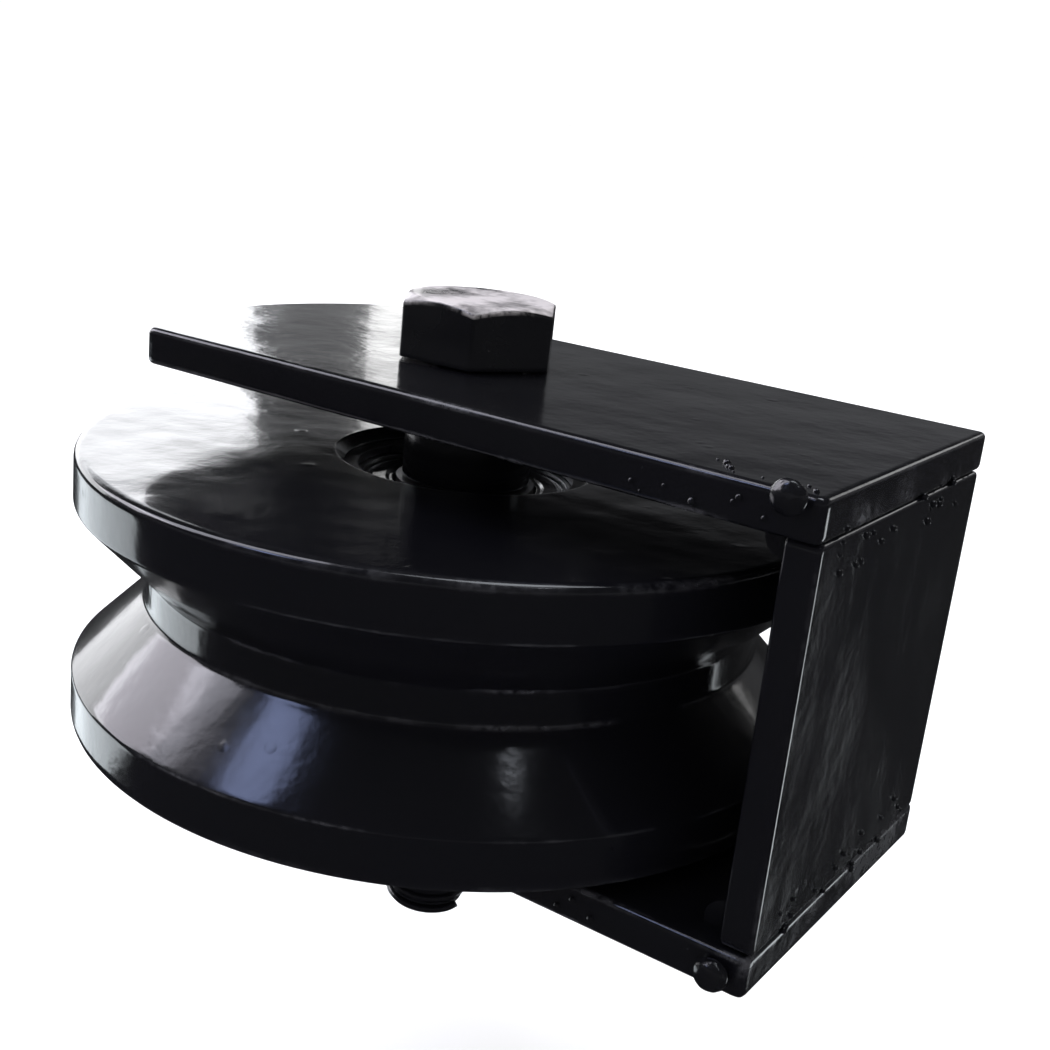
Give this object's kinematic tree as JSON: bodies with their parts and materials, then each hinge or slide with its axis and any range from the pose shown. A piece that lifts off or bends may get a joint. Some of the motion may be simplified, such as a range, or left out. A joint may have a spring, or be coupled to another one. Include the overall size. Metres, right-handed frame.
{
  "type": "sliding gate wheel",
  "caption": "V-groove gate wheel turning on two ball bearings and a hex bolt between the cheeks of a welded plate bracket",
  "frame": {"origin": "middle of the outer face of the bracket's back plate, where the bracket is welded to the gate", "axes": "+X out of the back plate's outer face, +Z along the axle towards the bolt head, +Y along the rail"},
  "size_m": [0.11, 0.1, 0.0878],
  "materials": {
    "black_paint": "glossy black paint over steel, slight orange peel",
    "bearing_steel": "ground bearing steel",
    "ball_steel": "polished",
    "spring_steel": "blackened spring steel"
  },
  "bodies": {
    "bracket": {"cheek_upper": "black_paint", "cheek_lower": "black_paint", "web_plate": "black_paint", "weld_bead_upper": "black_paint", "weld_bead_lower": "black_paint", "weld_tack_upper": "black_paint", "weld_tack_lower": "black_paint", "axle_bolt": "black_paint", "spacer_upper": "black_paint", "spacer_lower": "black_paint", "inner_sleeve": "bearing_steel", "plain_washer": "black_paint", "spring_washer": "black_paint", "nut": "black_paint", "bearing_upper_inner_ring": "bearing_steel", "bearing_lower_inner_ring": "bearing_steel"},
    "wheel": {"wheel": "black_paint", "circlip_upper": "spring_steel", "circlip_lower": "spring_steel", "bearing_upper_outer_ring": "bearing_steel", "bearing_upper_outside_shield": "bearing_steel", "bearing_upper_inside_shield": "bearing_steel", "bearing_lower_outer_ring": "bearing_steel", "bearing_lower_outside_shield": "bearing_steel", "bearing_lower_inside_shield": "bearing_steel"},
    "cage_upper": {"bearing_upper_cage": "bearing_steel", "bearing_upper_ball_1": "ball_steel", "bearing_upper_ball_2": "ball_steel", "bearing_upper_ball_3": "ball_steel", "bearing_upper_ball_4": "ball_steel", "bearing_upper_ball_5": "ball_steel", "bearing_upper_ball_6": "ball_steel", "bearing_upper_ball_7": "ball_steel"},
    "cage_lower": {"bearing_lower_cage": "bearing_steel", "bearing_lower_ball_1": "ball_steel", "bearing_lower_ball_2": "ball_steel", "bearing_lower_ball_3": "ball_steel", "bearing_lower_ball_4": "ball_steel", "bearing_lower_ball_5": "ball_steel", "bearing_lower_ball_6": "ball_steel", "bearing_lower_ball_7": "ball_steel"}
  },
  "joints": [
    {"name": "wheel_spin", "type": "hinge", "parent": "bracket", "child": "wheel", "pos_m": [-0.06, 0, 0], "axis": [0, 0, 1], "continuous": true},
    {"name": "cage_upper_spin", "type": "hinge", "parent": "bracket", "child": "cage_upper", "pos_m": [-0.06, 0, 0], "axis": [0, 0, 1], "continuous": true},
    {"name": "cage_lower_spin", "type": "hinge", "parent": "bracket", "child": "cage_lower", "pos_m": [-0.06, 0, 0], "axis": [0, 0, 1], "continuous": true}
  ],
  "couplings": [
    {"joint": "cage_upper_spin", "follows": "wheel_spin", "ratio": 0.6341},
    {"joint": "cage_lower_spin", "follows": "wheel_spin", "ratio": 0.6341}
  ]
}
